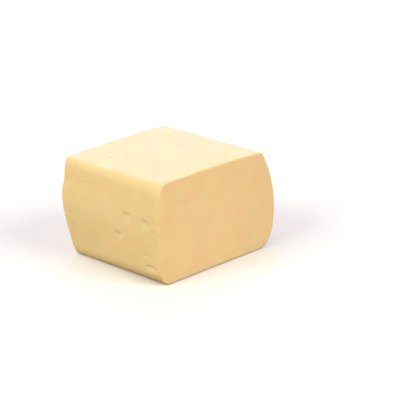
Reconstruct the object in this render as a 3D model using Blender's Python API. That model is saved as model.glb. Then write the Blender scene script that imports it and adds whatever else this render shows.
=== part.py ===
"""A block of mozzarella, cut from the end of a moulded loaf.

X runs across the loaf, Y along it and Z up. The knife's cut is the flat face at low Y.
The origin is on the underside, at the middle of the block's box. Sizes are in metres.
"""

import math
from collections import namedtuple

import bmesh
import bpy
from mathutils import Vector, noise

# Driving dimensions: the straight box that the block is shaped from.
WIDTH = 0.120
LENGTH = 0.1116
HEIGHT = 0.085

# How the mesh is cut up: close together beside every edge, then evenly.
EDGE_STEPS = (0.0008, 0.0016, 0.0030, 0.0052, 0.0085, 0.0135)
EVEN_STEP = 0.0070
DENT_CUTS = 4

# The box's six walls: axis, place on it, and the direction that leads inward.
Wall = namedtuple("Wall", "axis place inward")
LEFT = Wall(0, -WIDTH / 2, 1)
RIGHT = Wall(0, WIDTH / 2, -1)
CUT = Wall(1, -LENGTH / 2, 1)
END = Wall(1, LENGTH / 2, -1)
BASE = Wall(2, 0.0, 1)
TOP = Wall(2, HEIGHT, -1)

# Edge radii. The knife leaves crisp edges and the mould softer ones.
KNIFE_EDGE = 0.0014
TOP_RIGHT_EDGE = 0.0028
TOP_END_EDGE = 0.0022
UPRIGHT_END_EDGE = 0.0030

# The shoulder, where the left side rolls over into the top: reach over the top, and fall
# down the side.
Shoulder = namedtuple("Shoulder", "reach fall")
SHOULDER_AT_CUT = Shoulder(0.0050, 0.0120)
SHOULDER_AT_END = Shoulder(0.0030, 0.0065)

# The foot, where the sides roll under: reach over the base, and rise up the side.
Foot = namedtuple("Foot", "reach rise")
LEFT_FOOT_AT_CUT = Foot(0.0095, 0.0140)
LEFT_FOOT_AT_END = Foot(0.0030, 0.0080)
RIGHT_FOOT_AT_CUT = Foot(0.0100, 0.0170)
RIGHT_FOOT_AT_END = Foot(0.0035, 0.0085)
END_FOOT = Foot(0.0030, 0.0070)

# How far a side stands out at each height: most at the peak, nothing at the top, and
# drawn back in by the tuck at the base. Below the peak a low ease soon runs straight.
Belly = namedtuple("Belly", "out peak top tuck ease")
LEFT_BELLY_AT_CUT = Belly(0.0021, 0.047, 0.087, 0.0027, 2.0)
LEFT_BELLY_AT_END = Belly(0.0028, 0.050, 0.084, 0.0070, 0.3)
RIGHT_BELLY_AT_CUT = Belly(0.0163, 0.033, 0.0845, 0.0060, 2.0)
RIGHT_BELLY_AT_END = Belly(0.0080, 0.036, 0.0845, 0.0060, 0.6)
END_BELLY = Belly(0.0030, 0.050, 0.084, 0.0070, 0.3)
END_SWELL = 0.0018
END_NARROWING = 0.0022

# The top is slightly crowned across, more at the cut than at the far end, where it
# tilts a little up to the right.
CROWN_AT_CUT = 0.0019
CROWN_AT_END = 0.0002
END_TILT = 0.0012

# A low ledge runs along the left side from the far end.
LEDGE_DEPTH = 0.0010
LEDGE_HEIGHT = 0.0625
LEDGE_BLEND = 0.0052
LEDGE_TOP = 0.084
LEDGE_LENGTH = 0.050

# Slow unevenness of the moulded faces.
UNEVEN_DEPTH = 0.00035
UNEVEN_SIZE = 0.028
UNEVEN_SEED = 5

# Dents pressed into the left side, steep above and shallow below: distance from the cut
# and height of the deepest place, length, fall below it, slant in degrees, bend and depth.
# The last one is a bent crease beside the lower front corner.
Dent = namedtuple("Dent", "along height length fall slant bend depth")
DENTS = (
    Dent(0.0353, 0.0533, 0.0036, 0.0042, 0, 0, 0.0012),
    Dent(0.0148, 0.0514, 0.0036, 0.0042, 29, 0, 0.0013),
    Dent(0.0457, 0.0350, 0.0034, 0.0042, 6, 0, 0.0012),
    Dent(0.0058, 0.0535, 0.0028, 0.0036, 25, 0, 0.0005),
    Dent(0.0100, 0.0150, 0.0068, 0.0030, 3, 35, 0.0012),
)
# How much steeper a dent is above, how far out around it the mesh is fine, and how far in
# from the side its push fades out.
DENT_STEEPNESS = 3.2
DENT_SPREAD = 2.7
DENT_REACH = 0.0040

CHEESE_COLOUR = (0.93, 0.72, 0.40, 1.0)
CHEESE_ROUGHNESS = 0.45


def clear_scene():
    """Remove whatever objects the file holds."""
    for old in list(bpy.data.objects):
        bpy.data.objects.remove(old, do_unlink=True)


def mix(start, end, share):
    """Go from start to end as share goes from 0 to 1."""
    return start + (end - start) * share


def smooth_step(value, low, high):
    """Rise smoothly from 0 at low to 1 at high."""
    share = min(1.0, max(0.0, (value - low) / (high - low)))
    return share * share * (3 - 2 * share)


def distance_in(point, wall):
    """How far a point lies inside a wall of the box."""
    return (point[wall.axis] - wall.place) * wall.inward


def round_edge(point, first, second, reach_first, reach_second):
    """Bend the box near the edge of two walls into an arc, with what lies inside it.

    The arc begins at each reach from the edge, so two unlike reaches give an ellipse.
    """
    a = 1 - distance_in(point, first) / reach_first
    b = 1 - distance_in(point, second) / reach_second
    if a <= 0 or b <= 0:
        return
    shrink = max(a, b) / math.hypot(a, b)
    point[first.axis] = first.place + first.inward * reach_first * (1 - a * shrink)
    point[second.axis] = second.place + second.inward * reach_second * (1 - b * shrink)


def round_foot(point, wall, at_cut, at_end, share):
    """Roll a side under, with a foot that changes from the cut to the far end."""
    reach = mix(at_cut.reach, at_end.reach, share)
    rise = mix(at_cut.rise, at_end.rise, share)
    round_edge(point, wall, BASE, reach, rise)


def round_edges(point):
    """Round every edge of the box, the crisp cut first and the soft foot last."""
    for wall in (LEFT, RIGHT, TOP, BASE):
        round_edge(point, wall, CUT, KNIFE_EDGE, KNIFE_EDGE)
    for wall in (LEFT, RIGHT):
        round_edge(point, wall, END, UPRIGHT_END_EDGE, UPRIGHT_END_EDGE)
    round_edge(point, TOP, END, TOP_END_EDGE, TOP_END_EDGE)
    share = distance_in(point, CUT) / LENGTH
    reach = mix(SHOULDER_AT_CUT.reach, SHOULDER_AT_END.reach, share)
    fall = mix(SHOULDER_AT_CUT.fall, SHOULDER_AT_END.fall, share)
    round_edge(point, LEFT, TOP, reach, fall)
    round_edge(point, RIGHT, TOP, TOP_RIGHT_EDGE, TOP_RIGHT_EDGE)
    round_foot(point, LEFT, LEFT_FOOT_AT_CUT, LEFT_FOOT_AT_END, share)
    round_foot(point, RIGHT, RIGHT_FOOT_AT_CUT, RIGHT_FOOT_AT_END, share)
    round_foot(point, END, END_FOOT, END_FOOT, share)


def stand_out(belly, height):
    """How far a side stands out from the box at one height."""
    if height >= belly.peak:
        return belly.out * (1 - ((height - belly.peak) / (belly.top - belly.peak)) ** 2)
    below = 1 - height / belly.peak
    drawn_in = math.hypot(below, belly.ease) - belly.ease
    drawn_in_at_base = math.hypot(1, belly.ease) - belly.ease
    return belly.out - belly.tuck * drawn_in / drawn_in_at_base


def ledge(along, height):
    """How far the surface over the ledge lies back, fading towards the cut and the top."""
    rise = smooth_step(height, LEDGE_HEIGHT - LEDGE_BLEND, LEDGE_HEIGHT + LEDGE_BLEND)
    fade_up = 1 - smooth_step(height, LEDGE_HEIGHT, LEDGE_TOP)
    fade_along = smooth_step(along, LENGTH - LEDGE_LENGTH, LENGTH)
    return LEDGE_DEPTH * rise * fade_up * fade_along


def stretch_to_outline(point):
    """Stretch the box across, along and up, so that its walls reach the real outline."""
    across = point.x / (WIDTH / 2)
    along = distance_in(point, CUT)
    share = along / LENGTH
    height = point.z
    narrowing = END_NARROWING * share
    step = ledge(along, height)
    left = mix(stand_out(LEFT_BELLY_AT_CUT, height), stand_out(LEFT_BELLY_AT_END, height), share)
    right = mix(stand_out(RIGHT_BELLY_AT_CUT, height), stand_out(RIGHT_BELLY_AT_END, height), share)
    end = stand_out(END_BELLY, height) + END_SWELL * (1 - across ** 2)
    crown = mix(CROWN_AT_CUT, CROWN_AT_END, share) * (1 - across ** 2)
    left_share = (1 - across) / 2
    point.x += (right - narrowing) * (1 - left_share) - (left - narrowing - step) * left_share
    point.y += (end - step * left_share) * share
    point.z += (crown + END_TILT * share * across) * height / HEIGHT


def dent_depth(along, height):
    """How deep the dents press the left side in at one place."""
    depth = 0.0
    for dent in DENTS:
        turn = math.radians(dent.slant)
        ahead = along - dent.along
        above = height - dent.height + dent.bend * ahead ** 2
        lengthwise = (ahead * math.cos(turn) + above * math.sin(turn)) / dent.length
        crosswise = (above * math.cos(turn) - ahead * math.sin(turn)) / dent.fall
        if crosswise > 0:
            crosswise *= DENT_STEEPNESS
        depth += dent.depth * math.exp(-(lengthwise ** 2 + crosswise ** 2))
    return depth


def add_unevenness(point):
    """Move the point a little, with nothing at the cut's plane or on the base."""
    across = point.x / (WIDTH / 2)
    share = max(0.0, distance_in(point, CUT)) / LENGTH
    drift = noise.noise_vector(point / UNEVEN_SIZE) * UNEVEN_DEPTH
    point.x += drift.x * across
    point.y += drift.y * share
    point.z += drift.z * point.z / HEIGHT


def shaped(place):
    """Where a point of the straight box lies on the finished block."""
    point = Vector(place)
    inside = distance_in(point, LEFT)
    along = distance_in(point, CUT)
    height = point.z
    round_edges(point)
    stretch_to_outline(point)
    if inside < DENT_REACH:
        point.x += dent_depth(along, height) * (1 - inside / DENT_REACH)
    add_unevenness(point)
    return point


def cut_places(size):
    """Distances along one side of the box at which it is cut through."""
    inner = size - 2 * EDGE_STEPS[-1]
    count = round(inner / EVEN_STEP)
    evenly = [EDGE_STEPS[-1] + inner * step / count for step in range(1, count)]
    far_steps = [size - step for step in reversed(EDGE_STEPS)]
    return [*EDGE_STEPS, *evenly, *far_steps]


def cut_box_up(mesh):
    """Cut the box through at every place, along each of its three directions."""
    for wall, size in ((LEFT, WIDTH), (CUT, LENGTH), (BASE, HEIGHT)):
        direction = Vector((0, 0, 0))
        direction[wall.axis] = 1
        for place in cut_places(size):
            geometry = [*mesh.verts, *mesh.edges, *mesh.faces]
            bmesh.ops.bisect_plane(
                mesh, geom=geometry, plane_co=direction * (wall.place + place), plane_no=direction
            )


def near_dent(face):
    """Whether a face of the straight box lies on the left side, beside a dent."""
    middle = face.calc_center_median()
    if distance_in(middle, LEFT) > EDGE_STEPS[0] / 2:
        return False
    for dent in DENTS:
        ahead = abs(distance_in(middle, CUT) - dent.along)
        above = abs(middle.z - dent.height)
        if ahead < dent.length * DENT_SPREAD and above < dent.fall * DENT_SPREAD:
            return True
    return False


def refine_dents(mesh):
    """Divide the faces beside the dents, so that these show."""
    edges = [edge for edge in mesh.edges if any(near_dent(face) for face in edge.link_faces)]
    bmesh.ops.subdivide_edges(mesh, edges=edges, cuts=DENT_CUTS, use_grid_fill=True)


def centre_over_origin(mesh):
    """Put the middle of the block's underside at the origin."""
    for axis in (0, 1):
        places = [vertex.co[axis] for vertex in mesh.verts]
        middle = (min(places) + max(places)) / 2
        for vertex in mesh.verts:
            vertex.co[axis] -= middle


def cheese_material():
    """Pale yellow, slightly moist cheese."""
    material = bpy.data.materials.new("cheese")
    material.use_nodes = True
    shader = material.node_tree.nodes["Principled BSDF"]
    shader.inputs["Base Color"].default_value = CHEESE_COLOUR
    shader.inputs["Roughness"].default_value = CHEESE_ROUGHNESS
    shader.inputs["Metallic"].default_value = 0.0
    return material


def make_block(collection):
    """Model the block from one cube."""
    noise.seed_set(UNEVEN_SEED)
    mesh = bmesh.new()
    bmesh.ops.create_cube(mesh, size=1)
    bmesh.ops.scale(mesh, vec=(WIDTH, LENGTH, HEIGHT), verts=mesh.verts)
    bmesh.ops.translate(mesh, vec=(0, 0, HEIGHT / 2), verts=mesh.verts)
    cut_box_up(mesh)
    refine_dents(mesh)
    for vertex in mesh.verts:
        vertex.co = shaped(vertex.co)
    centre_over_origin(mesh)
    bmesh.ops.triangulate(mesh, faces=mesh.faces, quad_method="SHORT_EDGE")
    data = bpy.data.meshes.new("mozzarella_block")
    mesh.to_mesh(data)
    mesh.free()
    data.shade_smooth()
    data.materials.append(cheese_material())
    block = bpy.data.objects.new("mozzarella_block", data)
    collection.objects.link(block)
    return block


def main():
    clear_scene()
    collection = bpy.data.collections.new("mozzarella")
    bpy.context.scene.collection.children.link(collection)
    make_block(collection)


main()
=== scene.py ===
"""The looks of the mozzarella block: its fine surface, its material, the light and the camera.

Metres throughout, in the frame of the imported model: X runs across the loaf, Y along it with
the knife's cut at low Y, and Z up. The block is modelled again from the same sizes as its
solid, with a finer mesh, and with nicks, pores and grain besides.
"""

import math
from collections import namedtuple

import bmesh
import bpy
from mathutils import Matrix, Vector, noise


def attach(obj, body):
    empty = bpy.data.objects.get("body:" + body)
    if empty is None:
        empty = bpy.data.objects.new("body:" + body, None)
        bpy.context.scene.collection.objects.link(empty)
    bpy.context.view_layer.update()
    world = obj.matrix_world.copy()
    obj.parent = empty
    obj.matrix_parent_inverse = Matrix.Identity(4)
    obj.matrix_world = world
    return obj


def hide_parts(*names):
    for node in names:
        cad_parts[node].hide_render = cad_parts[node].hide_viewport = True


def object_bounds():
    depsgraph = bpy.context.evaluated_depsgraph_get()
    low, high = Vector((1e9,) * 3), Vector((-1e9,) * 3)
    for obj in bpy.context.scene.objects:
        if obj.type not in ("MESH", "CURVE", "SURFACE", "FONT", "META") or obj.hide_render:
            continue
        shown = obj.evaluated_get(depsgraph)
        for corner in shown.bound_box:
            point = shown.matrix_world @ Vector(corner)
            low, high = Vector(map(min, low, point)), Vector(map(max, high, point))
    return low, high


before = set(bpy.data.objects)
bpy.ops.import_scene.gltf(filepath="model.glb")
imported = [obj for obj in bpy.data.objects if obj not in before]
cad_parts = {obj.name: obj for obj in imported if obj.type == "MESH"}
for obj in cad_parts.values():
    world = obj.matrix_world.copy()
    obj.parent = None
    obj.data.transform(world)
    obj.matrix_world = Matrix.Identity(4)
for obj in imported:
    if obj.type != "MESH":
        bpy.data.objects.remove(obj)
cad_low, cad_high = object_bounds()

NODE = "mozzarella_block"

# The straight box that the block is shaped from.
WIDTH = 0.120
LENGTH = 0.1116
HEIGHT = 0.085

# Rows of faces along every side of the box: close beside the edges, then even. Then how
# often the faces beside a dent or a pore are cut again.
ROWS = 110
EDGE_ROWS = (0.0004, 0.0008, 0.0012, 0.0016, 0.0022, 0.0030, 0.0040, 0.0052, 0.0066)
DENT_CUTS = 2
PORE_CUTS = 5

# The box's six walls: axis, place on it, and the direction that leads inward.
Wall = namedtuple("Wall", "axis place inward")
LEFT = Wall(0, -WIDTH / 2, 1)
RIGHT = Wall(0, WIDTH / 2, -1)
CUT = Wall(1, -LENGTH / 2, 1)
END = Wall(1, LENGTH / 2, -1)
BASE = Wall(2, 0.0, 1)
TOP = Wall(2, HEIGHT, -1)

# A point of the box that is less far in than this counts as lying on the wall.
ON_WALL = EDGE_ROWS[0] / 2

# Edge radii. The knife leaves crisp edges and the mould softer ones.
KNIFE_EDGE = 0.0014
TOP_RIGHT_EDGE = 0.0028
TOP_END_EDGE = 0.0022
UPRIGHT_END_EDGE = 0.0030

# The shoulder, where the left side rolls over into the top: reach over the top, and fall
# down the side.
Shoulder = namedtuple("Shoulder", "reach fall")
SHOULDER_AT_CUT = Shoulder(0.0050, 0.0120)
SHOULDER_AT_END = Shoulder(0.0030, 0.0065)

# The foot, where the sides roll under: reach over the base, and rise up the side.
Foot = namedtuple("Foot", "reach rise")
LEFT_FOOT_AT_CUT = Foot(0.0095, 0.0140)
LEFT_FOOT_AT_END = Foot(0.0030, 0.0080)
RIGHT_FOOT_AT_CUT = Foot(0.0100, 0.0170)
RIGHT_FOOT_AT_END = Foot(0.0035, 0.0085)
END_FOOT = Foot(0.0030, 0.0070)

# How far a side stands out at each height: most at the peak, nothing at the top, and
# drawn back in by the tuck at the base. Below the peak a low ease soon runs straight.
# Then how far the far end swells in its middle, and each side draws in towards it.
Belly = namedtuple("Belly", "out peak top tuck ease")
LEFT_BELLY_AT_CUT = Belly(0.0021, 0.047, 0.087, 0.0027, 2.0)
LEFT_BELLY_AT_END = Belly(0.0028, 0.050, 0.084, 0.0070, 0.3)
RIGHT_BELLY_AT_CUT = Belly(0.0163, 0.033, 0.0845, 0.0060, 2.0)
RIGHT_BELLY_AT_END = Belly(0.0080, 0.036, 0.0845, 0.0060, 0.6)
END_BELLY = Belly(0.0030, 0.050, 0.084, 0.0070, 0.3)
END_SWELL = 0.0018
END_NARROWING = 0.0022

# The top is slightly crowned across, more at the cut than at the far end, where it
# tilts a little up to the right.
CROWN_AT_CUT = 0.0019
CROWN_AT_END = 0.0002
END_TILT = 0.0012

# A low ledge runs along the left side from the far end: its depth, its height, how far
# below and above that it blends in, where the side is back in line, and its length.
LEDGE_DEPTH = 0.0010
LEDGE_HEIGHT = 0.0625
LEDGE_BLEND = 0.0052
LEDGE_TOP = 0.084
LEDGE_LENGTH = 0.050

# Slow unevenness of the moulded faces: how deep, how long its waves are, and its seed.
UNEVEN_DEPTH = 0.00035
UNEVEN_SIZE = 0.028
UNEVEN_SEED = 5

# Dents pressed into the left side, steep above and shallow below: distance from the cut
# and height of the deepest place, length, fall below it, slant in degrees, bend, depth, and
# how strong the painted shade along its crease and the painted highlight on its lip are.
# The last one is a bent crease beside the lower front corner.
Dent = namedtuple("Dent", "along height length fall slant bend depth mark")
DENTS = (
    Dent(0.0353, 0.0533, 0.0036, 0.0042, 0, 0, 0.0012, 0.22),
    Dent(0.0148, 0.0514, 0.0036, 0.0042, 29, 0, 0.0013, 0.45),
    Dent(0.0457, 0.0350, 0.0034, 0.0042, 6, 0, 0.0012, 0.38),
    Dent(0.0058, 0.0535, 0.0028, 0.0036, 25, 0, 0.0005, 0.20),
    Dent(0.0100, 0.0150, 0.0068, 0.0030, 3, 35, 0.0012, 0.95),
)

# How much steeper a dent is above, how far out around it the mesh is fine, and how far in
# from the side its push fades out.
DENT_STEEPNESS = 3.2
DENT_SPREAD = 2.0
DENT_REACH = 0.0040

# Painted light beside a dent: painted shade, darker, along the crease of its steep side, and
# a painted highlight, paler, on the lip below it: how far above the deepest place and how
# broad, in the dent's own sizes.
CREASE_SHADE_MIDDLE = 0.6
CREASE_SHADE_SPREAD = 0.9
LIP_HIGHLIGHT_MIDDLE = -1.1
LIP_HIGHLIGHT_SPREAD = 0.7

# Nicks: the same shape as the dents, and too small for the solid.
NICKS = (
    Dent(0.0810, 0.0688, 0.0034, 0.0016, 12, 0, 0.00030, 0.13),
    Dent(0.0068, 0.0566, 0.0014, 0.0014, 25, 0, 0.00051, 0.22),
    Dent(0.0034, 0.0520, 0.0012, 0.0016, 30, 0, 0.00044, 0.19),
    Dent(0.0041, 0.0452, 0.0014, 0.0016, 15, 0, 0.00048, 0.20),
    Dent(0.0103, 0.0312, 0.0015, 0.0014, 10, 0, 0.00041, 0.17),
    Dent(0.0164, 0.0232, 0.0018, 0.0014, 5, 0, 0.00051, 0.22),
    Dent(0.0353, 0.0246, 0.0016, 0.0014, 0, 0, 0.00037, 0.16),
    Dent(0.0533, 0.0284, 0.0020, 0.0016, 8, 0, 0.00041, 0.17),
    Dent(0.0421, 0.0598, 0.0014, 0.0014, 20, 0, 0.00031, 0.13),
    Dent(0.0546, 0.0568, 0.0016, 0.0014, 10, 0, 0.00034, 0.14),
)

# Pores, each a small open bubble: the wall it is in, two places on that wall in the order
# of its axes, measured from the left, the cut and the base, and its radius.
Pore = namedtuple("Pore", "wall first second radius")
PORES = (
    Pore(LEFT, 0.1021, 0.0399, 0.00056),
    Pore(LEFT, 0.1003, 0.0298, 0.00060),
    Pore(LEFT, 0.0453, 0.0343, 0.00042),
    Pore(LEFT, 0.0431, 0.0435, 0.00032),
    Pore(CUT, 0.0552, 0.0593, 0.00034),
    Pore(CUT, 0.0584, 0.0564, 0.00030),
    Pore(CUT, 0.0701, 0.0501, 0.00042),
    Pore(CUT, 0.1120, 0.0445, 0.00044),
    Pore(CUT, 0.0189, 0.0307, 0.00034),
    Pore(CUT, 0.0132, 0.0439, 0.00026),
    Pore(TOP, 0.0232, 0.0803, 0.00075),
    Pore(TOP, 0.0640, 0.0752, 0.00028),
    Pore(TOP, 0.0062, 0.1030, 0.00030),
    Pore(RIGHT, 0.0310, 0.0560, 0.00040),
    Pore(RIGHT, 0.0722, 0.0384, 0.00034),
    Pore(RIGHT, 0.0885, 0.0612, 0.00030),
    Pore(RIGHT, 0.0486, 0.0292, 0.00036),
    Pore(END, 0.0352, 0.0524, 0.00038),
    Pore(END, 0.0826, 0.0341, 0.00032),
    Pore(END, 0.0612, 0.0603, 0.00028),
)

# A pore's depth and reach in its own radii, how sharp its rim is, and the depth from which
# its painted shade is full.
PORE_DEPTH = 1.1
PORE_SPREAD = 3.0
PORE_SHARPNESS = 4
PORE_SHADE_FULL_AT = 0.0004

# Fine relief, as depth and size: slow waves on the moulded faces, and grain everywhere.
WAVE_DEPTH = 0.00012
WAVE_SIZE = 0.0095
GRAIN_DEPTH = 0.00004
GRAIN_SIZE = 0.0030

# The cheese's colours: pale and deep patches, curds, specks, and the painted light that the
# mesh carries: painted shade in the dents' creases and in the pores, and a painted highlight
# on the dents' lips.
PALE_CHEESE = (0.937, 0.735, 0.412, 1.0)
DEEP_CHEESE = (0.923, 0.706, 0.382, 1.0)
CURD_CHEESE = (0.975, 0.790, 0.500, 1.0)
SPECK_CHEESE = (0.820, 0.590, 0.280, 1.0)
# Painted shade in the dents' creases, and a painted highlight on their lips.
CREASE_SHADE_PAINT = (0.850, 0.600, 0.450, 1.0)
LIP_HIGHLIGHT_PAINT = (0.985, 0.775, 0.436, 1.0)
# Painted shade in the pores.
PORE_SHADE_PAINT = (0.620, 0.300, 0.160, 1.0)
PAINTED_TONES = (
    ("painted_lip_highlight", LIP_HIGHLIGHT_PAINT),
    ("painted_crease_shade", CREASE_SHADE_PAINT),
    ("painted_pore_shade", PORE_SHADE_PAINT),
)

# The noise that mottles it: its scale, its detail, and the range over which its colour
# comes in. Then how strong the colours of the curds and the specks are.
Mottle = namedtuple("Mottle", "scale detail low high")
PATCHES = Mottle(55.0, 2.0, 0.35, 0.65)
CURDS = Mottle(420.0, 3.0, 0.52, 0.72)
SPECKS = Mottle(700.0, 1.0, 0.66, 0.74)
CURD_STRENGTH = 0.45
SPECK_STRENGTH = 0.50

# Its finish: how rough its dry and its moist patches are, how strong and how deep the
# curds' bump is, and how far light goes in, as a share for each colour and a depth.
ROUGHEST = 0.50
SMOOTHEST = 0.36
BUMP_STRENGTH = 0.25
BUMP_DEPTH = 0.0004
SCATTER_COLOURS = (1.0, 0.45, 0.14)
SCATTER_DEPTH = 0.0040

# The photograph's camera: lens and sensor in millimetres, direction in degrees, and the
# place that it looks at, from the lower left corner of the cut.
LENS = 140.0
SENSOR_WIDTH = 36.0
AZIMUTH = -47.05
ELEVATION = 19.37
DISTANCE = 1.461
CORNER_X = -0.0672
AIM_ACROSS = 0.162
AIM_ALONG = 0.098

# The pale floor, as the camera sees it and as it throws light back. It lies just under the
# block, so that the two don't meet.
FLOOR_COLOUR = (0.970, 0.975, 0.990, 1.0)
FLOOR_BOUNCE = (0.34, 0.22, 0.16, 1.0)
FLOOR_SIZE = 30.0
FLOOR_HEIGHT = -0.0003

# The studio's light: the sky's colours, the heights between which one turns into the
# other, and broad lamps by azimuth, elevation and spread in degrees, with what they give
# of each colour.
HORIZON_LIGHT = (0.340, 0.335, 0.240, 1.0)
ZENITH_LIGHT = (0.393, 0.362, 0.417, 1.0)
HORIZON_TOP = 0.10
ZENITH_FOOT = 0.75
Lamp = namedtuple("Lamp", "name azimuth elevation spread red green blue")
LAMPS = (
    Lamp("left_fill", -100, 30, 40, 1.82, 1.92, 1.60),
    Lamp("right_fill", 18, 30, 40, 1.84, 1.85, 1.62),
    Lamp("back_fill", -155, 50, 50, 0.46, 0.37, 0.32),
    Lamp("backdrop", 133, 20, 60, 0.86, 0.80, 1.22),
)

# A small warm card close in front of the cut: its place across, how far off and how high,
# its size, its colour and its power in watts.
CARD_ACROSS = -0.010
CARD_AWAY = 0.085
CARD_HEIGHT = 0.028
CARD_SIZE = 0.06
CARD_COLOUR = (1.0, 0.46, 0.52)
CARD_POWER = 0.0080


def mix(start, end, share):
    """Go from start to end as share goes from 0 to 1."""
    return start + (end - start) * share


def smooth_step(value, low, high):
    """Rise smoothly from 0 at low to 1 at high."""
    share = min(1.0, max(0.0, (value - low) / (high - low)))
    return share * share * (3 - 2 * share)


def distance_in(point, wall):
    """How far a point lies inside a wall of the box."""
    return (point[wall.axis] - wall.place) * wall.inward


def is_on(point, wall):
    """Whether a point of the straight box lies on a wall."""
    return distance_in(point, wall) <= ON_WALL


def round_edge(point, first, second, reach_first, reach_second):
    """Bend the box near the edge of two walls into an arc, with what lies inside it.

    The arc begins at each reach from the edge, so two unlike reaches give an ellipse.
    """
    a = 1 - distance_in(point, first) / reach_first
    b = 1 - distance_in(point, second) / reach_second
    if a <= 0 or b <= 0:
        return
    shrink = max(a, b) / math.hypot(a, b)
    point[first.axis] = first.place + first.inward * reach_first * (1 - a * shrink)
    point[second.axis] = second.place + second.inward * reach_second * (1 - b * shrink)


def round_foot(point, wall, at_cut, at_end, share):
    """Roll a side under, with a foot that changes from the cut to the far end."""
    reach = mix(at_cut.reach, at_end.reach, share)
    rise = mix(at_cut.rise, at_end.rise, share)
    round_edge(point, wall, BASE, reach, rise)


def round_edges(point):
    """Round every edge of the box, the crisp cut first and the soft foot last."""
    for wall in (LEFT, RIGHT, TOP, BASE):
        round_edge(point, wall, CUT, KNIFE_EDGE, KNIFE_EDGE)
    for wall in (LEFT, RIGHT):
        round_edge(point, wall, END, UPRIGHT_END_EDGE, UPRIGHT_END_EDGE)
    round_edge(point, TOP, END, TOP_END_EDGE, TOP_END_EDGE)
    share = distance_in(point, CUT) / LENGTH
    reach = mix(SHOULDER_AT_CUT.reach, SHOULDER_AT_END.reach, share)
    fall = mix(SHOULDER_AT_CUT.fall, SHOULDER_AT_END.fall, share)
    round_edge(point, LEFT, TOP, reach, fall)
    round_edge(point, RIGHT, TOP, TOP_RIGHT_EDGE, TOP_RIGHT_EDGE)
    round_foot(point, LEFT, LEFT_FOOT_AT_CUT, LEFT_FOOT_AT_END, share)
    round_foot(point, RIGHT, RIGHT_FOOT_AT_CUT, RIGHT_FOOT_AT_END, share)
    round_foot(point, END, END_FOOT, END_FOOT, share)


def stand_out(belly, height):
    """How far a side stands out from the box at one height."""
    if height >= belly.peak:
        return belly.out * (1 - ((height - belly.peak) / (belly.top - belly.peak)) ** 2)
    below = 1 - height / belly.peak
    drawn_in = math.hypot(below, belly.ease) - belly.ease
    drawn_in_at_base = math.hypot(1, belly.ease) - belly.ease
    return belly.out - belly.tuck * drawn_in / drawn_in_at_base


def side_stands_out(at_cut, at_end, height, share):
    """How far a side stands out, as its belly changes from the cut to the far end."""
    return mix(stand_out(at_cut, height), stand_out(at_end, height), share)


def ledge(along, height):
    """How far the surface over the ledge lies back, fading towards the cut and the top."""
    rise = smooth_step(height, LEDGE_HEIGHT - LEDGE_BLEND, LEDGE_HEIGHT + LEDGE_BLEND)
    fade_up = 1 - smooth_step(height, LEDGE_HEIGHT, LEDGE_TOP)
    fade_along = smooth_step(along, LENGTH - LEDGE_LENGTH, LENGTH)
    return LEDGE_DEPTH * rise * fade_up * fade_along


def stretch_to_outline(point):
    """Stretch the box across, along and up, so that its walls reach the real outline."""
    across = point.x / (WIDTH / 2)
    along = distance_in(point, CUT)
    share = along / LENGTH
    height = point.z
    narrowing = END_NARROWING * share
    step = ledge(along, height)
    left = side_stands_out(LEFT_BELLY_AT_CUT, LEFT_BELLY_AT_END, height, share)
    right = side_stands_out(RIGHT_BELLY_AT_CUT, RIGHT_BELLY_AT_END, height, share)
    end = stand_out(END_BELLY, height) + END_SWELL * (1 - across ** 2)
    crown = mix(CROWN_AT_CUT, CROWN_AT_END, share) * (1 - across ** 2)
    left_share = (1 - across) / 2
    point.x += (right - narrowing) * (1 - left_share) - (left - narrowing - step) * left_share
    point.y += (end - step * left_share) * share
    point.z += (crown + END_TILT * share * across) * height / HEIGHT


def place_in_dent(dent, along, height):
    """Where a place lies from a dent's deepest place, lengthwise and crosswise, in its sizes."""
    turn = math.radians(dent.slant)
    ahead = along - dent.along
    above = height - dent.height + dent.bend * ahead ** 2
    lengthwise = (ahead * math.cos(turn) + above * math.sin(turn)) / dent.length
    crosswise = (above * math.cos(turn) - ahead * math.sin(turn)) / dent.fall
    if crosswise > 0:
        crosswise *= DENT_STEEPNESS
    return lengthwise, crosswise


def dent_depth(along, height):
    """How deep the dents and the nicks press the left side in at one place."""
    depth = 0.0
    for dent in DENTS + NICKS:
        lengthwise, crosswise = place_in_dent(dent, along, height)
        depth += dent.depth * math.exp(-(lengthwise ** 2 + crosswise ** 2))
    return depth


def add_unevenness(point):
    """Move the point a little, with nothing at the cut's plane or on the base."""
    across = point.x / (WIDTH / 2)
    share = max(0.0, distance_in(point, CUT)) / LENGTH
    drift = noise.noise_vector(point / UNEVEN_SIZE) * UNEVEN_DEPTH
    point.x += drift.x * across
    point.y += drift.y * share
    point.z += drift.z * point.z / HEIGHT


def shaped(place):
    """Where a point of the straight box lies on the finished block."""
    point = Vector(place)
    inside = distance_in(point, LEFT)
    along = distance_in(point, CUT)
    height = point.z
    round_edges(point)
    stretch_to_outline(point)
    if inside < DENT_REACH:
        point.x += dent_depth(along, height) * (1 - inside / DENT_REACH)
    add_unevenness(point)
    return point


def row_places(size):
    """Distances along one side of the box of all its rows, from 0 to its size."""
    inner = size - 2 * EDGE_ROWS[-1]
    count = ROWS - 2 * len(EDGE_ROWS)
    evenly = [EDGE_ROWS[-1] + inner * step / count for step in range(1, count)]
    far_rows = [size - row for row in reversed(EDGE_ROWS)]
    return [0.0, *EDGE_ROWS, *evenly, *far_rows, size]


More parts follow.
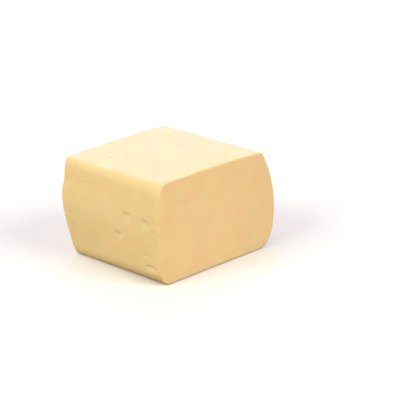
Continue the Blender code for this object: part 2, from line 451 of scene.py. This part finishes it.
def make_grid_box(mesh):
    """Make the straight box, with every wall divided into its rows of faces."""
    bmesh.ops.create_cube(mesh, size=1)
    bmesh.ops.translate(mesh, vec=(0.5, 0.5, 0.5), verts=mesh.verts)
    bmesh.ops.subdivide_edges(mesh, edges=mesh.edges, cuts=ROWS - 1, use_grid_fill=True)
    places = [row_places(size) for size in (WIDTH, LENGTH, HEIGHT)]
    for vertex in mesh.verts:
        for axis, wall in enumerate((LEFT, CUT, BASE)):
            row = round(vertex.co[axis] * ROWS)
            vertex.co[axis] = wall.place + places[axis][row]


def places_on(wall, point):
    """The two places of a point on a wall, measured as a pore's are."""
    steps = [distance_in(point, LEFT), distance_in(point, CUT), point.z]
    del steps[wall.axis]
    return steps


def away_from_pore(pore, point):
    """How far a point of the straight box is from a pore's middle, in its radii."""
    first, second = places_on(pore.wall, point)
    return math.hypot(first - pore.first, second - pore.second) / pore.radius


def near_dent(face):
    """Whether a face of the straight box lies beside a dent or a nick."""
    middle = face.calc_center_median()
    if not is_on(middle, LEFT):
        return False
    for dent in DENTS + NICKS:
        ahead = abs(distance_in(middle, CUT) - dent.along)
        above = abs(middle.z - dent.height)
        if ahead < dent.length * DENT_SPREAD and above < dent.fall * DENT_SPREAD:
            return True
    return False


def near_pore(face):
    """Whether a face of the straight box lies beside a pore."""
    middle = face.calc_center_median()
    for pore in PORES:
        if is_on(middle, pore.wall) and away_from_pore(pore, middle) < PORE_SPREAD:
            return True
    return False


def refine(mesh, near, cuts):
    """Divide the faces that lie near a mark."""
    edges = [edge for edge in mesh.edges if any(near(face) for face in edge.link_faces)]
    bmesh.ops.subdivide_edges(mesh, edges=edges, cuts=cuts, use_grid_fill=True)


def pore_depth(place):
    """How deep a pore reaches at a point of the straight box."""
    depth = 0.0
    for pore in PORES:
        if is_on(place, pore.wall):
            away = away_from_pore(pore, place)
            if away < PORE_SPREAD:
                depth += PORE_DEPTH * pore.radius * math.exp(-away ** PORE_SHARPNESS)
    return depth


def painted_dent_shading(place, middle, spread):
    """How far a point of the straight box lies in the painted shade or the painted highlight
    beside the dents.
    """
    if not is_on(place, LEFT):
        return 0.0
    share = 0.0
    for dent in DENTS + NICKS:
        lengthwise, crosswise = place_in_dent(dent, distance_in(place, CUT), place.z)
        across = (crosswise - middle) / spread
        share += dent.mark * math.exp(-(lengthwise ** 2 + across ** 2))
    return min(1.0, share)


def fine_relief(point, place):
    """Height of the slow waves and the grain over the shaped surface."""
    grain = GRAIN_DEPTH * noise.noise(point / GRAIN_SIZE)
    if distance_in(place, CUT) < EDGE_ROWS[0]:
        return grain
    return grain + WAVE_DEPTH * noise.noise(point / WAVE_SIZE)


def keep_in_box(point):
    """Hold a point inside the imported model's box."""
    for axis in range(3):
        point[axis] = min(max(point[axis], cad_low[axis]), cad_high[axis])


def centre_in_frame(mesh):
    """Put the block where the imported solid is."""
    for axis in (0, 1):
        places = [vertex.co[axis] for vertex in mesh.verts]
        shift = (cad_low[axis] + cad_high[axis] - min(places) - max(places)) / 2
        for vertex in mesh.verts:
            vertex.co[axis] += shift


def record_painted_shading(mesh, places):
    """Record on every point how much painted light it takes: painted shade in a pore or a
    crease, and a painted highlight on a lip.
    """
    painted_pore_shade = mesh.verts.layers.float.new("painted_pore_shade")
    painted_crease_shade = mesh.verts.layers.float.new("painted_crease_shade")
    painted_lip_highlight = mesh.verts.layers.float.new("painted_lip_highlight")
    for vertex, place in zip(mesh.verts, places):
        vertex[painted_pore_shade] = min(1.0, pore_depth(place) / PORE_SHADE_FULL_AT)
        vertex[painted_crease_shade] = painted_dent_shading(place, CREASE_SHADE_MIDDLE, CREASE_SHADE_SPREAD)
        vertex[painted_lip_highlight] = painted_dent_shading(place, LIP_HIGHLIGHT_MIDDLE, LIP_HIGHLIGHT_SPREAD)


def add_relief(mesh, places):
    """Press the pores in and raise the waves and the grain, all above the underside."""
    for vertex, place in zip(mesh.verts, places):
        height = 0.0
        if place.z >= KNIFE_EDGE:
            height = fine_relief(vertex.co, place) - pore_depth(place)
        point = vertex.co + vertex.normal * height
        keep_in_box(point)
        vertex.co = point


def add_object(name, data):
    """Put an object into the scene."""
    added = bpy.data.objects.new(name, data)
    bpy.context.scene.collection.objects.link(added)
    return added


def add_mesh(name, mesh):
    """Put a finished mesh into the scene."""
    data = bpy.data.meshes.new(name)
    mesh.to_mesh(data)
    mesh.free()
    return add_object(name, data)


def make_block():
    """Model the block's fine surface from one cube."""
    noise.seed_set(UNEVEN_SEED)
    mesh = bmesh.new()
    make_grid_box(mesh)
    refine(mesh, near_dent, DENT_CUTS)
    refine(mesh, near_pore, PORE_CUTS)
    places = [vertex.co.copy() for vertex in mesh.verts]
    for vertex, place in zip(mesh.verts, places):
        vertex.co = shaped(place)
    centre_in_frame(mesh)
    mesh.normal_update()
    record_painted_shading(mesh, places)
    add_relief(mesh, places)
    block = add_mesh("cheese_surface", mesh)
    block.data.shade_smooth()
    return block


def add_node(tree, kind, **settings):
    """Add a shader node with its settings."""
    node = tree.nodes.new(kind)
    for name, value in settings.items():
        setattr(node, name, value)
    return node


def add_noise(tree, coordinates, mottle):
    """A noise texture over the object's own coordinates."""
    node = add_node(tree, "ShaderNodeTexNoise")
    node.inputs["Scale"].default_value = mottle.scale
    node.inputs["Detail"].default_value = mottle.detail
    tree.links.new(coordinates, node.inputs["Vector"])
    return node.outputs["Fac"]


def ramp(tree, value, mottle):
    """Bring the range over which a mottle's colour comes in to the range from 0 to 1."""
    node = add_node(tree, "ShaderNodeMapRange")
    tree.links.new(value, node.inputs["Value"])
    node.inputs["From Min"].default_value = mottle.low
    node.inputs["From Max"].default_value = mottle.high
    return node.outputs["Result"]


def between(tree, share, start, end):
    """Go from one colour to another as a value goes from 0 to 1."""
    node = add_node(tree, "ShaderNodeMix", data_type="RGBA")
    tree.links.new(share, node.inputs["Factor"])
    node.inputs["A"].default_value = start
    node.inputs["B"].default_value = end
    return node.outputs["Result"]


def tint(tree, colour, share, tone, strength=1.0):
    """Bring a colour towards a tone, by a share that is scaled by the strength."""
    amount = add_node(tree, "ShaderNodeMath", operation="MULTIPLY")
    tree.links.new(share, amount.inputs[0])
    amount.inputs[1].default_value = strength
    node = add_node(tree, "ShaderNodeMix", data_type="RGBA")
    tree.links.new(amount.outputs["Value"], node.inputs["Factor"])
    tree.links.new(colour, node.inputs["A"])
    node.inputs["B"].default_value = tone
    return node.outputs["Result"]


def cheese_material():
    """Pale yellow cheese: mottled, slightly moist, and lit from within."""
    material = bpy.data.materials.new("cheese")
    material.use_nodes = True
    tree = material.node_tree
    shader = tree.nodes["Principled BSDF"]
    coordinates = add_node(tree, "ShaderNodeTexCoord").outputs["Object"]
    patches = add_noise(tree, coordinates, PATCHES)
    curds = add_noise(tree, coordinates, CURDS)
    specks = add_noise(tree, coordinates, SPECKS)
    colour = between(tree, ramp(tree, patches, PATCHES), DEEP_CHEESE, PALE_CHEESE)
    colour = tint(tree, colour, ramp(tree, curds, CURDS), CURD_CHEESE, CURD_STRENGTH)
    colour = tint(tree, colour, ramp(tree, specks, SPECKS), SPECK_CHEESE, SPECK_STRENGTH)
    # Painted shade in the pores and the dents' creases, and a painted highlight on the dents'
    # lips.
    for name, tone in PAINTED_TONES:
        mark = add_node(tree, "ShaderNodeAttribute", attribute_name=name)
        colour = tint(tree, colour, mark.outputs["Fac"], tone)
    tree.links.new(colour, shader.inputs["Base Color"])
    sheen = add_node(tree, "ShaderNodeMapRange")
    tree.links.new(patches, sheen.inputs["Value"])
    sheen.inputs["To Min"].default_value = ROUGHEST
    sheen.inputs["To Max"].default_value = SMOOTHEST
    tree.links.new(sheen.outputs["Result"], shader.inputs["Roughness"])
    relief = add_node(tree, "ShaderNodeBump")
    relief.inputs["Strength"].default_value = BUMP_STRENGTH
    relief.inputs["Distance"].default_value = BUMP_DEPTH
    tree.links.new(curds, relief.inputs["Height"])
    tree.links.new(relief.outputs["Normal"], shader.inputs["Normal"])
    shader.inputs["Subsurface Weight"].default_value = 1.0
    shader.inputs["Subsurface Radius"].default_value = SCATTER_COLOURS
    shader.inputs["Subsurface Scale"].default_value = SCATTER_DEPTH
    return material


def make_floor():
    """A pale floor, wide enough to fill every view."""
    mesh = bmesh.new()
    bmesh.ops.create_grid(mesh, x_segments=1, y_segments=1, size=FLOOR_SIZE)
    floor = add_mesh("floor", mesh)
    floor.location.z = FLOOR_HEIGHT
    material = bpy.data.materials.new("floor")
    material.use_nodes = True
    tree = material.node_tree
    tree.nodes.remove(tree.nodes["Principled BSDF"])
    output = tree.nodes["Material Output"]
    surface = add_node(tree, "ShaderNodeBsdfDiffuse")
    seen = add_node(tree, "ShaderNodeLightPath").outputs["Is Camera Ray"]
    tree.links.new(between(tree, seen, FLOOR_BOUNCE, FLOOR_COLOUR), surface.inputs["Color"])
    tree.links.new(surface.outputs["BSDF"], output.inputs["Surface"])
    floor.data.materials.append(material)


def light_world():
    """Soft studio light from all round: one colour overhead and another at eye level."""
    world = bpy.data.worlds.new("studio")
    bpy.context.scene.world = world
    world.use_nodes = True
    tree = world.node_tree
    background = tree.nodes["Background"]
    coordinates = add_node(tree, "ShaderNodeTexCoord").outputs["Generated"]
    split = add_node(tree, "ShaderNodeSeparateXYZ")
    tree.links.new(coordinates, split.inputs["Vector"])
    height = add_node(tree, "ShaderNodeMapRange", interpolation_type="SMOOTHSTEP")
    height.inputs["From Min"].default_value = HORIZON_TOP
    height.inputs["From Max"].default_value = ZENITH_FOOT
    tree.links.new(split.outputs["Z"], height.inputs["Value"])
    colour = between(tree, height.outputs["Result"], HORIZON_LIGHT, ZENITH_LIGHT)
    tree.links.new(colour, background.inputs["Color"])


def back_from(azimuth, elevation):
    """The direction from the block towards a camera or a lamp."""
    turn = math.radians(azimuth)
    rise = math.radians(elevation)
    level = math.cos(rise)
    return Vector((math.sin(turn) * level, -math.cos(turn) * level, math.sin(rise)))


def look_from(thing, back):
    """Turn a camera or a lamp to look from a direction towards the block."""
    thing.rotation_mode = "QUATERNION"
    thing.rotation_quaternion = (-back).to_track_quat("-Z", "Y")


def add_lamp(lamp):
    """A distant lamp, as broad as its spread."""
    strength = max(lamp.red, lamp.green, lamp.blue)
    data = bpy.data.lights.new(lamp.name, "SUN")
    data.color = (lamp.red / strength, lamp.green / strength, lamp.blue / strength)
    data.energy = strength
    data.angle = math.radians(lamp.spread)
    look_from(add_object(lamp.name, data), back_from(lamp.azimuth, lamp.elevation))


def add_card():
    """A small warm card that brightens the middle of the cut, and isn't seen itself."""
    data = bpy.data.lights.new("card", "AREA")
    data.shape = "DISK"
    data.size = CARD_SIZE
    data.color = CARD_COLOUR
    data.energy = CARD_POWER
    card = add_object("card", data)
    card.location = (CARD_ACROSS, cad_low.y - CARD_AWAY, CARD_HEIGHT)
    card.rotation_euler.x = math.radians(90)
    card.visible_camera = False


def place_camera():
    """The photograph's camera, placed from the lower left corner of the cut."""
    data = bpy.data.cameras.new("camera")
    data.lens = LENS
    data.sensor_width = SENSOR_WIDTH
    camera = add_object("camera", data)
    back = back_from(AZIMUTH, ELEVATION)
    corner = Vector((CORNER_X, cad_low.y, 0))
    aim = corner + Vector((AIM_ACROSS, AIM_ALONG, 0))
    camera.location = aim + back * DISTANCE
    look_from(camera, back)
    bpy.context.scene.camera = camera


def main():
    bpy.context.scene.view_settings.view_transform = "Standard"
    place_camera()
    block = make_block()
    block.data.materials.append(cheese_material())
    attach(block, "root")
    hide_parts(NODE)
    make_floor()
    light_world()
    for lamp in LAMPS:
        add_lamp(lamp)
    add_card()


main()
